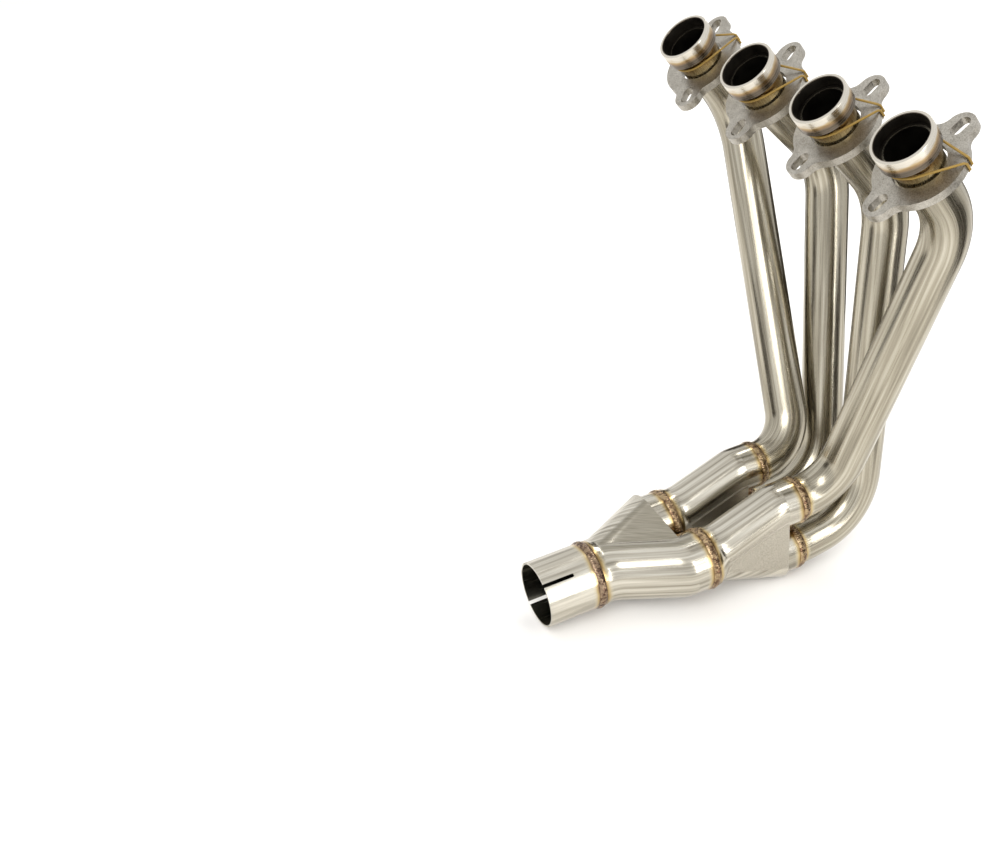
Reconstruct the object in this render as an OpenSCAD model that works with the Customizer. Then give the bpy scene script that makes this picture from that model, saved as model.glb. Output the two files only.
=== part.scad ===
// Four-into-two-into-one exhaust header for an inline-four motorcycle engine.
// Bent tubes drop from four round collars, pair up in two first-stage
// collectors and merge again into one slotted outlet sleeve.
// Every piece is drawn with the collector line along +X and turned as a whole
// to the way the header lies on a bench. The origin is the middle of the
// outlet sleeve's mouth and +Z is up.

/* [Ports] */
// Distance between neighbouring exhaust ports
port_pitch = 80; // [76:0.5:92]
// How far the middle of the port row sits left of the outlet line
port_row_shift = 58; // [30:1:75]
// Distance of the port faces ahead of the outlet mouth
port_ahead = 233; // [220:1:250]
// Height of the port faces above the outlet line
port_height = 309; // [280:1:340]
// Lean of the port axes above the outlet line
port_angle = 53; // [48:0.5:58]

/* [Collars] */
// Outer diameter of the turned collars
collar_d = 40; // [39:0.2:43]
// Bore of the collars
collar_bore_d = 35; // [33.5:0.2:36]
// Length of the collars along the port axis
collar_len = 13.5; // [12:0.5:18]
// Depth of the bore down to the end of the tube
collar_bore_depth = 9; // [6:0.5:11]
// Bevel on the rims of the collars
collar_bevel = 0.6; // [0.2:0.1:1]

/* [Flanges] */
// Thickness of the flange plates
flange_t = 6; // [5:0.5:10]
// Diameter of the round middle of the flanges
flange_body_d = 60; // [56:0.5:64]
// Diameter of the hole in the flanges
flange_hole_d = 35; // [34.4:0.1:38.5]
// Distance between the two stud slots, middle to middle
stud_spacing = 65; // [62:0.5:70]
// Width of the stud slots
slot_w = 8; // [6:0.2:9]
// End-to-end length of the stud slots
slot_len = 14; // [10:0.5:15]
// Radius of the flange ears
ear_r = 10.2; // [9:0.1:11]
// Distance of the flange faces below the port faces
flange_drop = 27; // [24:0.5:32]

/* [Tubes] */
// Outer diameter of the primary tubes
tube_d = 32; // [30:0.2:34]
// Wall thickness of all the tubes
tube_wall = 1.2; // [1:0.1:1.6]
// Bend radius of the primary tubes along their middle
bend_r = 56; // [46:1:60]

/* [Collectors] */
// Outer diameter of the pipes between the two stages
middle_d = 45; // [42:0.5:47]
// Outer diameter of the outlet sleeve
outlet_d = 49; // [48.2:0.2:54]
// Wall thickness of the collectors and the sleeve
collector_wall = 1.5; // [1.2:0.1:2]
// Distance from the outlet line to each pipe between the stages
middle_shift = 26; // [25:0.5:30]
// Height of the first-stage inlets above and below the outlet line
inlet_shift = 22; // [20.5:0.1:24]
// Length of the outlet sleeve
sleeve_len = 42; // [36:1:60]
// Length of the second-stage collector
second_len = 80; // [74:1:95]
// Length of the first-stage collectors
first_len = 80; // [74:1:95]

/* [Outlet slots] */
// Length of the clamping slots in the outlet sleeve
clamp_slot_len = 24; // [15:1:30]
// Width of the clamping slots
clamp_slot_w = 2.6; // [1.5:0.1:4]
// Turn of the slots from straight up, towards the right side
clamp_slot_turn = 36; // [0:1:90]

/* [Welds] */
// Width of the weld beads
bead_w = 6; // [4:0.5:8]
// Height of the weld beads above the tube
bead_h = 1.2; // [0.8:0.1:2]
// Leg of the fillet weld under each collar
collar_fillet = 2.4; // [1.5:0.1:2.8]

/* [Bands] */
// Thickness of the round elastic bands
band_t = 1.6; // [1:0.1:2.2]

/* [Lie on the bench] */
// Turn of the whole header, nose up, as it lies on its outlet and lower inlets
rest_pitch = 4.6; // [0:0.1:10]
// Turn of the whole header about its outlet line
rest_roll = 0; // [-10:0.1:10]

/* [Hidden] */
$fn = 72;

// Gap between pieces that slip into each other before they are welded
slip = 0.1;
// Length that a cut runs past the face it opens
past = 1;
// How much larger bends are than straights, and how far straights reach in
hair = 0.04;
bite = 0.5;

// Port axes: out of the head end of each tube, up and to the rear
port_out = [-cos(port_angle), 0, sin(port_angle)];
function port_y(i) = port_row_shift + (1.5 - i) * port_pitch;
function port(i) = [port_ahead, port_y(i), port_height];
function below_port(i, depth) = port(i) - depth * port_out;

// Line of the collectors, from the outlet mouth forwards
second_x = sleeve_len;
first_x = second_x + second_len;
inlet_x = first_x + first_len;
inlet_d = tube_d + 2 * (slip + collector_wall);

// Sockets for the stubs are one wall larger than the stubs they hold
socket_len = 5;
stub_show = 15;
lower_socket_d = inlet_d + 2 * (slip + collector_wall);
rear_socket_d = middle_d + 2 * (slip + collector_wall);

// Two-into-one collectors: half thickness of the flat web between the branches
// as a share of a branch, how far back its hollow front lies from the fork, and
// the places where the branches start and the running one bends
web_share = 0.95;
web_back = 8;
web_arc_r = 60;
root_len = 5;
cone_len = 42;
fork_at = 12;
knee_at = 60;
knee_r = 24;

// Which collector side a tube feeds, and whether its inlet is the upper one
side = [1, 1, -1, -1];
level = [1, -1, -1, 1];

// Corners of each tube between its collar and its inlet
leg = [84.7, 31, 42.4, 86.3];
kick = [0, 6.6, 3.1, 0];
reach = [0, 85.8, 65.6, 0];
knee_ahead = [36.5, 67, 59, 34];
knee_bend_r = [37.5, 49, 49, 37];
inlet_rise = [0, 9, 9, 0];
rise_from = 9.5;
grip = 7;

function kicked(i) = [cos(port_angle - kick[i]), 0, -sin(port_angle - kick[i])];
function tube_inlet(i) = [inlet_x, side[i] * middle_shift, level[i] * inlet_shift];
function knee(i) = tube_inlet(i)
    + [knee_ahead[i], 0, (knee_ahead[i] - rise_from) * tan(inlet_rise[i])];
function tube_route(i) = concat(
    [below_port(i, collar_bore_depth), below_port(i, leg[i])],
    reach[i] > 0 ? [below_port(i, leg[i]) + reach[i] * kicked(i)] : [],
    [knee(i)],
    inlet_rise[i] > 0 ? [tube_inlet(i) + [rise_from, 0, 0]] : [],
    [tube_inlet(i) - [grip, 0, 0]]
);
function tube_bends(i) = concat(
    [0, bend_r], reach[i] > 0 ? [bend_r] : [], [knee_bend_r[i]],
    inlet_rise[i] > 0 ? [bend_r] : [], [0]
);

// Rest angle of each loose flange about its port axis, and of its band
// from the flange's upper ear
flange_turn = [29.5, 13, -1.5, -5.5];
band_turn = [-54, -55, -41.5, -56];
band_gap = 0.35;
band_depth = 18;
hook_half = 2;
hook_in = 5;
band_knot = 0.3;

function unit(v) = v / norm(v);
function dir(p, i) = unit(p[i + 1] - p[i]);
function bend_angle(p, i) = acos(dir(p, i - 1) * dir(p, i));
function bend_take(p, r, i) = i <= 0 || i >= len(p) - 1 ? 0 : r[i] * tan(bend_angle(p, i) / 2);
function bends(p, r) = [for (q = p) r];
function any_side(z) = unit(cross(z, abs(z[1]) < 0.9 ? [0, 1, 0] : [1, 0, 0]));

module lie() {
    rotate([rest_roll, -rest_pitch, 0]) children();
}

// Places a child so that its x and z axes point along the given vectors
module aim(at, x, z) {
    y = cross(z, x);
    multmatrix([
        [x[0], y[0], z[0], at[0]],
        [x[1], y[1], z[1], at[1]],
        [x[2], y[2], z[2], at[2]],
        [0, 0, 0, 1]
    ]) children();
}

module ring(d, wall) {
    difference() {
        circle(d = d);
        if (wall > 0) circle(d = d - 2 * wall);
    }
}

// A pipe along corner points, each corner bent to its radius in the list r.
// With no wall it is a solid rod of the same shape. The bends are a hair larger
// all over than the straights, which reach a little way into them.
module bent_pipe(p, r, d, wall) {
    last = len(p) - 1;
    for (i = [0 : last - 1]) {
        u = dir(p, i);
        a = p[i] + (bend_take(p, r, i) - (i > 0 ? bite : 0)) * u;
        b = p[i + 1] - (bend_take(p, r, i + 1) - (i < last - 1 ? bite : 0)) * u;
        aim(a, any_side(u), u) linear_extrude(norm(b - a)) ring(d, wall);
    }
    for (i = [1 : last - 1]) {
        u = dir(p, i - 1);
        inward = unit(dir(p, i) - (u * dir(p, i)) * u);
        centre = p[i] - bend_take(p, r, i) * u + r[i] * inward;
        aim(centre, -inward, cross(-inward, u)) rotate_extrude(angle = bend_angle(p, i))
            translate([r[i], 0]) ring(d + 2 * hair, wall > 0 ? wall + 2 * hair : 0);
    }
}

// Puts a child on a port axis, with +Z out of the head end
module at_port(i) {
    aim(port(i), [sin(port_angle), 0, cos(port_angle)], port_out) children();
}

module collar(i) {
    r = collar_d / 2;
    rb = collar_bore_d / 2;
    rs = tube_d / 2 + slip;
    b = collar_bevel;
    color("gainsboro") lie() at_port(i) rotate_extrude() polygon([
        [rb + b, 0], [r - b, 0], [r, -b], [r, -collar_len], [rs, -collar_len],
        [rs, -collar_bore_depth], [rb, -collar_bore_depth], [rb, -b]
    ]);
}

module collar_weld(i) {
    color("darkgoldenrod") lie() at_port(i) translate([0, 0, -collar_len]) rotate_extrude()
        intersection() {
            translate([tube_d / 2, 0]) circle(r = collar_fillet);
            translate([tube_d / 2, -collar_fillet]) square(collar_fillet);
        }
}

// Half of the flange outline's neck: the bridge between body and ear,
// hollowed by a round fillet that touches both circles
module neck(body_r, ear_at) {
    fillet = 9;
    cy = ((body_r + fillet) ^ 2 - (ear_r + fillet) ^ 2 + ear_at ^ 2) / (2 * ear_at);
    cx = sqrt((body_r + fillet) ^ 2 - cy ^ 2);
    difference() {
        polygon([
            [0, 0], [cx, cy] * body_r / (body_r + fillet),
            [0, ear_at] + [cx, cy - ear_at] * ear_r / (ear_r + fillet), [0, ear_at]
        ]);
        translate([cx, cy]) circle(r = fillet);
    }
}

module stud_slot() {
    half = (slot_len - slot_w) / 2;
    for (y = [-half, half]) translate([0, y]) circle(d = slot_w);
    square([slot_w, 2 * half], center = true);
}

module flange_outline() {
    ear_at = stud_spacing / 2;
    difference() {
        union() {
            circle(d = flange_body_d);
            for (m = [0, 1]) mirror([0, m]) {
                translate([0, ear_at]) circle(r = ear_r);
                for (k = [0, 1]) mirror([k, 0]) neck(flange_body_d / 2, ear_at);
            }
        }
        circle(d = flange_hole_d);
        for (y = [-ear_at, ear_at]) translate([0, y]) stud_slot();
    }
}

module flange(i) {
    color("silver") lie() at_port(i) translate([0, 0, -flange_drop - flange_t])
        rotate(90 + flange_turn[i]) linear_extrude(flange_t) flange_outline();
}

module rod(a, b, d) {
    u = unit(b - a);
    aim(a, unit(cross(u, [u[1], u[2], u[0]])), u) cylinder(h = norm(b - a), d = d);
}

// Half of an elastic band, from behind the tube to the hook under the flange
module band_half() {
    loop_r = tube_d / 2 + band_gap + band_t / 2;
    rim = flange_body_d / 2 + band_t / 2;
    top = -flange_drop + band_t;
    under = -flange_drop - flange_t - band_t / 2;
    path = [
        [0, loop_r, -band_depth], [hook_in, loop_r, -band_depth],
        [rim, hook_half, top], [rim, hook_half, under],
        [rim - hook_in, hook_half, under], [rim - hook_in, 0, under]
    ];
    for (k = [0 : len(path) - 2]) {
        rod(path[k], path[k + 1], band_t);
        if (k > 0) translate(path[k]) sphere(d = band_t + band_knot);
    }
    translate(path[0]) sphere(d = band_t + band_knot);
    translate([0, 0, -band_depth]) rotate(90)
        rotate_extrude(angle = 90) translate([loop_r, 0]) circle(d = band_t);
}

module flange_band(i) {
    color("goldenrod") lie() at_port(i) rotate(flange_turn[i] + band_turn[i])
        for (m = [0, 1]) mirror([0, m, 0]) band_half();
}

module primary_tube(i) {
    color("silver") lie() bent_pipe(tube_route(i), tube_bends(i), tube_d, tube_wall);
}

// A weld bead round a joint at x = 0 between pipes of two diameters
module bead(d_back, d_ahead) {
    r = (bead_w ^ 2 / 4 + bead_h ^ 2) / (2 * bead_h);
    rotate([0, 90, 0]) rotate_extrude() difference() {
        translate([d_back / 2 + bead_h - r, 0]) circle(r = r);
        translate([-r, -2 * r]) square([d_back / 2 + r, 2 * r]);
        translate([-r, 0]) square([d_ahead / 2 + r, 2 * r]);
    }
}

module primary_weld(i) {
    color("peru") lie() translate(tube_inlet(i)) bead(inlet_d, tube_d);
}

// A straight branch that leans out from the root and is cut square at x = stop
module leaning_branch(d, start, shift, fork, stop) {
    lean = atan((shift - start) / (fork - fork_at));
    run = (stop - fork_at) / cos(lean) + d * tan(lean);
    u = [cos(lean), 0, -sin(lean)];
    intersection() {
        aim([fork_at, 0, -start], any_side(u), u) cylinder(h = run, d = d);
        translate([0, -d, -2 * (shift + d)]) cube([stop, 2 * d, 4 * (shift + d)]);
    }
}

// The solid shape of a two-into-one collector, its root at x = 0. The upper
// branch runs to the full length, the lower one ends square round its stub.
// A positive inset gives the hollow inside, which runs on past the open ends.
module merge_solid(out_d, branch_d, socket_d, shift, length, inset) {
    over = inset > 0 ? past : 0;
    fork = length - stub_show;
    start = (out_d - branch_d) / 2;
    half = web_share * branch_d / 2 - inset;
    up = [[fork_at, 0, start], [knee_at, 0, shift], [length + over, 0, shift]];
    bent_pipe(up, bends(up, knee_r), branch_d - 2 * inset, 0);
    leaning_branch(
        socket_d - 2 * inset, start, shift, fork, inset > 0 ? fork - socket_len - inset : fork
    );
    rotate([0, 90, 0]) {
        translate([0, 0, -over]) cylinder(h = root_len + over, d = out_d - 2 * inset);
        translate([0, 0, root_len])
            cylinder(h = cone_len - root_len, d1 = out_d - 2 * inset, d2 = 1.6 * half);
        if (inset > 0) translate([shift, 0, fork - socket_len - 2 * inset])
            cylinder(h = socket_len + 2 * inset + over, d = socket_d - 2 * inset);
    }
    rotate([90, 0, 0]) translate([0, 0, -half]) linear_extrude(2 * half) difference() {
        polygon([
            [fork_at, 0], [knee_at, shift - inset], [fork, shift - inset], [fork, inset - shift]
        ]);
        translate([fork - web_back + web_arc_r, 0]) circle(r = web_arc_r + inset);
    }
}

module merge(out_d, branch_d, socket_d, shift, length) {
    difference() {
        merge_solid(out_d, branch_d, socket_d, shift, length, 0);
        merge_solid(out_d, branch_d, socket_d, shift, length, collector_wall);
    }
}

module first_stage(y) {
    color("lightsteelblue") lie() translate([first_x, y, 0])
        merge(middle_d, inlet_d, lower_socket_d, inlet_shift, first_len);
}

module second_stage() {
    color("lightsteelblue") lie() translate([second_x, 0, 0]) rotate([90, 0, 0])
        merge(outlet_d, middle_d, rear_socket_d, middle_shift, second_len);
}

module stub(d, end, y, z) {
    color("silver") lie() translate([end - stub_show - socket_len, y, z]) rotate([0, 90, 0])
        linear_extrude(stub_show + socket_len) ring(d, collector_wall);
}

module middle_weld(y) {
    color("peru") lie() translate([first_x, y, 0]) bead(middle_d, middle_d);
}

module outlet_weld() {
    color("rosybrown") lie() translate([second_x, 0, 0]) bead(outlet_d, outlet_d);
}

// Two opposite slots let a clamp squeeze the mouth onto the pipe inside it
module clamp_slots() {
    straight = clamp_slot_len - clamp_slot_w / 2;
    rotate([clamp_slot_turn, 0, 0]) {
        translate([-past, -clamp_slot_w / 2, -outlet_d])
            cube([straight + past, clamp_slot_w, 2 * outlet_d]);
        translate([straight, 0, -outlet_d]) cylinder(h = 2 * outlet_d, d = clamp_slot_w);
    }
}

module outlet_sleeve() {
    color("gainsboro") lie() difference() {
        rotate([0, 90, 0]) linear_extrude(sleeve_len) ring(outlet_d, collector_wall);
        clamp_slots();
    }
}

collar(0);  // collar_1
collar(1);  // collar_2
collar(2);  // collar_3
collar(3);  // collar_4
collar_weld(0);  // collar_weld_1
collar_weld(1);  // collar_weld_2
collar_weld(2);  // collar_weld_3
collar_weld(3);  // collar_weld_4
flange(0);  // flange_1
flange(1);  // flange_2
flange(2);  // flange_3
flange(3);  // flange_4
flange_band(0);  // flange_band_1
flange_band(1);  // flange_band_2
flange_band(2);  // flange_band_3
flange_band(3);  // flange_band_4
primary_tube(0);  // primary_tube_1
primary_tube(1);  // primary_tube_2
primary_tube(2);  // primary_tube_3
primary_tube(3);  // primary_tube_4
primary_weld(0);  // primary_weld_1
primary_weld(1);  // primary_weld_2
primary_weld(2);  // primary_weld_3
primary_weld(3);  // primary_weld_4
first_stage(middle_shift);  // first_stage_left
first_stage(-middle_shift);  // first_stage_right
stub(inlet_d, inlet_x, middle_shift, -inlet_shift);  // lower_stub_left
stub(inlet_d, inlet_x, -middle_shift, -inlet_shift);  // lower_stub_right
middle_weld(middle_shift);  // middle_weld_left
middle_weld(-middle_shift);  // middle_weld_right
second_stage();
stub(middle_d, first_x, middle_shift, 0);  // rear_stub
outlet_weld();
outlet_sleeve();
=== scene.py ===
import math

import bmesh
import bpy
from bpy.props import FloatProperty, PointerProperty, StringProperty
from mathutils import Matrix, Vector


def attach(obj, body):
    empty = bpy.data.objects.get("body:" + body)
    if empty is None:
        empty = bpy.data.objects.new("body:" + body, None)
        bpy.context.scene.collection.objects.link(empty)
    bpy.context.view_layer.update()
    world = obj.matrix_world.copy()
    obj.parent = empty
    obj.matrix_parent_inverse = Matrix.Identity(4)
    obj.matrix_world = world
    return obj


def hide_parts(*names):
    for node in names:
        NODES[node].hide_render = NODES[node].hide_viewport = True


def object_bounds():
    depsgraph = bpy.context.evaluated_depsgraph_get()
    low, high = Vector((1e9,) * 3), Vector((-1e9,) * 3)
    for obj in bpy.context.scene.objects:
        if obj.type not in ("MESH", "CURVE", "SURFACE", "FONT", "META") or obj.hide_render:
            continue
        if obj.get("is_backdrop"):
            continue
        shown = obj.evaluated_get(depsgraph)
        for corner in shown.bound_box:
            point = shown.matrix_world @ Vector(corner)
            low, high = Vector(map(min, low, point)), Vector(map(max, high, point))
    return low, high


bl_info = {
    "name": "Motorcycle exhaust header",
    "version": (1, 0, 0),
    "blender": (4, 5, 0),
    "location": "3D View > Sidebar > Header",
    "description": "Dresses the exhaust header's solids in brushed steel, weld beads and heat tint",
    "category": "Add Mesh",
}

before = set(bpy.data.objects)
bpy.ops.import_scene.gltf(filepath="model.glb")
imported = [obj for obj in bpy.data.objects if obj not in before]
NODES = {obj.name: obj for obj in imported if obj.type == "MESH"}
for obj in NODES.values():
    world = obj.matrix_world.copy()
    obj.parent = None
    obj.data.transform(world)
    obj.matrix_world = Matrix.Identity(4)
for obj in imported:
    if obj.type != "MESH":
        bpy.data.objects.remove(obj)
MM = 0.001

# Sizes in millimetres and angles in degrees, the same as in the part's source
PORTS = 4
LEAN = 4.6
PORT_ANGLE = 53.0
PORT_PITCH = 80.0
PORT_ROW_SHIFT = 58.0
PORT_AHEAD = 233.0
PORT_HEIGHT = 309.0
OUTLET_WELD_AT = 42.0
MIDDLE_WELD_AT = 122.0
INLET_WELD_AT = 202.0
MIDDLE_SHIFT = 26.0
INLET_SHIFT = 22.0
COLLAR_D, COLLAR_BORE_D, COLLAR_LEN, BORE_DEPTH = 40.0, 35.0, 13.5, 9.0
# Roundings of a collar: its rims, the middle point of a rim's round, and its heel
RIM, RIM_MID, HEEL = 0.6, 0.18, 0.3
FLANGE_DROP, FLANGE_T, FLANGE_RIM_R, FLANGE_EDGE = 27.0, 6.0, 30.0, 0.45
# An elastic band lies round the neck at this height, this far off the tube
BAND_HEIGHT, BAND_OFF = -18.0, 0.35
COLLECTOR_WALL, SLIP, STUB_SHOW, STAGE_LEN = 1.5, 0.1, 15.0, 80.0
ROOT_LEN, CONE_LEN, FORK_AT, KNEE_AT, KNEE_EASE = 5.0, 18.0, 12.0, 60.0, 5.0
WEB_SHARE, CONE_SHARE, SOCKET_DIP = 0.93, 0.84, 0.5
OUTLET_R, MIDDLE_R, INLET_R = 24.5, 22.5, 17.6
FLANGE_TURN = (29.5, 13.0, -1.5, -5.5)
BAND_TURN = (-54.0, -55.0, -41.5, -56.0)
# The tubes' routes, one value for each of tubes 1 to 4: the straight leg below the collar, the
# extra bend and the length after it, and the knee ahead of the inlet
LEG = (84.7, 31.0, 42.4, 86.3)
KICK = (0.0, 6.6, 3.1, 0.0)
REACH = (0.0, 85.8, 65.6, 0.0)
KNEE_AHEAD = (36.5, 67.0, 59.0, 34.0)
KNEE_BEND_R = (37.5, 49.0, 49.0, 37.0)
INLET_RISE = (0.0, 9.0, 9.0, 0.0)
RISE_FROM, BEND_R, GRIP = 9.5, 56.0, 7.0
# Which inlet each tube runs to: 1 for left or upper, -1 for right or lower
SIDE = (1, 1, -1, -1)
LEVEL = (1, -1, -1, 1)

# Heat tint beside a weld, as (nearness, colour) stops, and how far it reaches and wanders in mm
WELD_TINT = ((0.1, "#CFC6AE"), (0.42, "#BFAB80"), (0.58, "#9A8054"), (0.68, "#54402B"))
SLEEVE_TINT = ((0.1, "#CFC6AE"), (0.42, "#BFAB80"), (0.58, "#927A5C"), (0.68, "#4E3E34"))
TINT_REACH, TINT_WANDER = 8.0, 4.0
# Points round the end of a collector's running branch, and round an elastic band
END_POINTS, BAND_POINTS = 96, 14
# Weld beads: the length of one coin, rings across, points to a coin, and how deep the foot sinks
COIN_PITCH, BEAD_RINGS, COIN_POINTS, BEAD_SUNK = 1.7, 12, 8, -0.25
# The height of the small beads under the collars, and how far a bead starts off its pipe
COLLAR_BEAD_H, BEAD_LIFT = 0.68, 0.02
# The outlet sleeve's bore with a little room round it, painted darker as shade: radius, start and
# end
SLEEVE_SHADED_BORE = (23.3, -5.0, OUTLET_WELD_AT + 5.0)


def hex_colour(code):
    """An sRGB hex colour such as "#B7AF9F" as linear red, green, blue and alpha."""
    channels = [int(code[k:k + 2], 16) / 255 for k in (1, 3, 5)]
    return [c / 12.92 if c <= 0.04045 else ((c + 0.055) / 1.055) ** 2.4 for c in channels] + [1.0]


# Places -----------------------------------------------------------------------------------------

def lie():
    """The turn from the collector line's own frame to the way the header lies."""
    return Matrix.Rotation(math.radians(-LEAN), 4, "Y")


def port(i):
    """Middle of port i and the way out of it, in the collector line's own frame."""
    a = math.radians(PORT_ANGLE)
    side = PORT_ROW_SHIFT + ((PORTS - 1) / 2 - i) * PORT_PITCH
    return Vector((PORT_AHEAD, side, PORT_HEIGHT)), Vector((-math.cos(a), 0, math.sin(a)))


def port_frame(i):
    """A matrix in mm with +Z out of port i and +X towards the flange's upper ear side."""
    at, out = port(i)
    up = Vector((out.z, 0, -out.x))
    turn = Matrix((up, out.cross(up), out)).transposed().to_4x4()
    return lie() @ Matrix.Translation(at) @ turn


def along_frame(x, y, z):
    """A matrix in mm with +Z along the collector line, forwards, at the point x, y, z."""
    return lie() @ Matrix.Translation((x, y, z)) @ Matrix.Rotation(math.radians(90), 4, "Y")


# Meshes -----------------------------------------------------------------------------------------

def add_piece(name, shells, place, material, replaces, body, sharp=35, inner=None):
    """Makes a piece from shells of rings of points in mm and seats it in the frame.

    A shell is (rings, lengths, arounds, closed): equally long rings, each ring's length along and
    each point's length around in mm, the same for all rings or a list for each, and whether the
    last ring joins the first.
    inner is a second material and the first and last ring of the first shell's faces in the bore.
    """
    mesh = bpy.data.meshes.new(name)
    bm = bmesh.new()
    layer = bm.loops.layers.uv.new("UVMap")
    for shell, (rings, lengths, arounds, closed) in enumerate(shells):
        count, nested = len(rings[0]), isinstance(arounds[0], list)
        grid = [[bm.verts.new((place @ Vector(p)) * MM) for p in ring] for ring in rings]
        for r in range(len(rings) if closed else len(rings) - 1):
            a, b = grid[r], grid[(r + 1) % len(rings)]
            for k in range(count):
                n = (k + 1) % count
                face = bm.faces.new((a[k], a[n], b[n], b[k]))
                along = (lengths[r], lengths[r + 1])
                near = arounds[r] if nested else arounds
                far = arounds[(r + 1) % len(rings)] if nested else arounds
                about = ((near[k], near[k + 1]), (far[k], far[k + 1]))
                for loop, (u, v) in zip(face.loops, ((0, 0), (0, 1), (1, 1), (1, 0))):
                    loop[layer].uv = (along[u] * MM, about[u][v] * MM)
                face.smooth = True
                in_bore = inner and not shell and inner[1] <= r <= inner[2]
                face.material_index = 1 if in_bore else 0
    bmesh.ops.recalc_face_normals(bm, faces=bm.faces)
    bm.to_mesh(mesh)
    bm.free()
    mesh.set_sharp_from_angle(angle=math.radians(sharp))
    piece = bpy.data.objects.new(name, mesh)
    bpy.context.scene.collection.objects.link(piece)
    mesh.materials.append(material)
    if inner:
        mesh.materials.append(inner[0])
    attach(piece, body)
    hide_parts(*replaces)
    return piece


def angles_round(count):
    """Equally spaced angles once round."""
    return [2 * math.pi * k / count for k in range(count)]


def circle(radius, z, count):
    """A ring of points round +Z."""
    return [Vector((radius * math.cos(a), radius * math.sin(a), z)) for a in angles_round(count)]


def around(radius, count):
    """Lengths round a ring, from 0 to the whole way round."""
    return [2 * math.pi * radius * k / count for k in range(count + 1)]


def turned(name, profile, place, material, node, body, inner=None, count=96):
    """A turned piece: a closed profile of radius and height, spun round +Z."""
    lengths = [0.0]
    for a, b in zip(profile, profile[1:] + profile[:1]):
        lengths.append(lengths[-1] + math.dist(a, b))
    rings = [circle(r, z, count) for r, z in profile]
    shell = (rings, lengths, around(profile[0][0], count), True)
    return add_piece(name, [shell], place, material, (node,), body, inner=inner)


def bent_line(corners, radii, step=3.0):
    """Points and directions along a line whose corners are bent to the given radii."""
    points, ways = [], []

    def add(p, d):
        if not points or (p - points[-1]).length > 0.02:
            points.append(p)
            ways.append(d)

    at = corners[0]
    for k in range(1, len(corners)):
        way = (corners[k] - corners[k - 1]).normalized()
        last = k == len(corners) - 1
        if last:
            stop = corners[k]
        else:
            onward = (corners[k + 1] - corners[k]).normalized()
            turn = way.angle(onward)
            take = radii[k] * math.tan(turn / 2)
            stop = corners[k] - way * take
        pieces = max(1, round((stop - at).length / (2 * step)))
        for n in range(pieces + 1):
            add(at.lerp(stop, n / pieces), way)
        if not last:
            inward = (onward - way * way.dot(onward)).normalized()
            centre = stop + inward * radii[k]
            pieces = max(2, round(radii[k] * turn / step))
            for n in range(1, pieces + 1):
                a = turn * n / pieces
                add(centre - inward * radii[k] * math.cos(a) + way * radii[k] * math.sin(a),
                    way * math.cos(a) + inward * math.sin(a))
            at = points[-1]
    return points, ways


def swept(name, corners, radii, d, wall, material, dark, node, body, count=64):
    """A bent tube with its wall; its bore has the dark material."""
    points, ways = bent_line(corners, radii)
    side = ways[0].orthogonal().normalized()
    frames, lengths = [], [0.0]
    for k, (p, way) in enumerate(zip(points, ways)):
        side = (side - way * side.dot(way)).normalized()
        frames.append((p, side.copy(), way.cross(side)))
        if k:
            lengths.append(lengths[-1] + (p - points[k - 1]).length)

    def ring(f, radius):
        p, u, v = f
        return [p + u * radius * math.cos(a) + v * radius * math.sin(a)
                for a in angles_round(count)]

    rings = [ring(f, d / 2) for f in frames] + [ring(f, d / 2 - wall) for f in reversed(frames)]
    lengths = lengths + [2 * lengths[-1] - s for s in reversed(lengths)] + [0.0]
    half = len(frames)
    shell = (rings, lengths, around(d / 2, count), True)
    return add_piece(name, [shell], lie(), material, (node,), body,
                     inner=(dark, half, 2 * half - 2))


def weld_ring(name, a, b, height, place, material, node):
    """A bead laid like a row of coins from radius, height a to b round +Z, for a weld."""
    mean, middle = (a[0] + b[0]) / 2, (a[1] + b[1]) / 2
    coins = round(2 * math.pi * mean / COIN_PITCH)
    steps = coins * COIN_POINTS
    normal = Vector((a[1] - b[1], b[0] - a[0])).normalized()
    if normal[0] < 0:
        normal = -normal
    rings = []
    for t in range(BEAD_RINGS + 1):
        u = t / BEAD_RINGS
        s = 2 * u - 1
        ring = []
        for k in range(steps):
            w = 2 * math.pi * k / steps
            # Each coin is steep behind and round ahead; the sines make the welder's hand uneven
            drift = 0.22 * math.sin(5 * w + 1) + 0.15 * math.sin(11 * w + 2)
            phase = (k / COIN_POINTS + drift + 0.55 * s * s) % 1.0
            coin = phase / 0.06 * 0.34
            if phase > 0.06:
                coin = math.sqrt(max(0.0, 1 - (1 - phase) ** 2))
            wide = 1 - 0.05 * (1 + math.sin(7 * w + 3)) / 2
            uneven = 0.86 + 0.14 * math.sin(13 * w + 4 * s) * math.sin(29 * w + 1)
            rise = height * (1 - abs(s) ** 2.4) * (0.5 + 0.5 * coin) * uneven
            r = a[0] + (b[0] - a[0]) * u + normal[0] * rise
            z = middle + (a[1] + (b[1] - a[1]) * u - middle) * wide + normal[1] * rise
            ring.append(Vector((r * math.cos(w), r * math.sin(w), z)))
        rings.append(ring)
    # The bead's foot sinks a little into the metal under it
    sink = 1 + BEAD_SUNK / mean
    for edge in (rings[-1], rings[0]):
        rings.append([Vector((p.x * sink, p.y * sink, p.z)) for p in edge])
    lengths = [k * 0.5 for k in range(len(rings) + 1)]
    shell = (rings, lengths, around(mean, steps), True)
    return add_piece(name, [shell], place, material, (node,), "header", 60)


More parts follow.
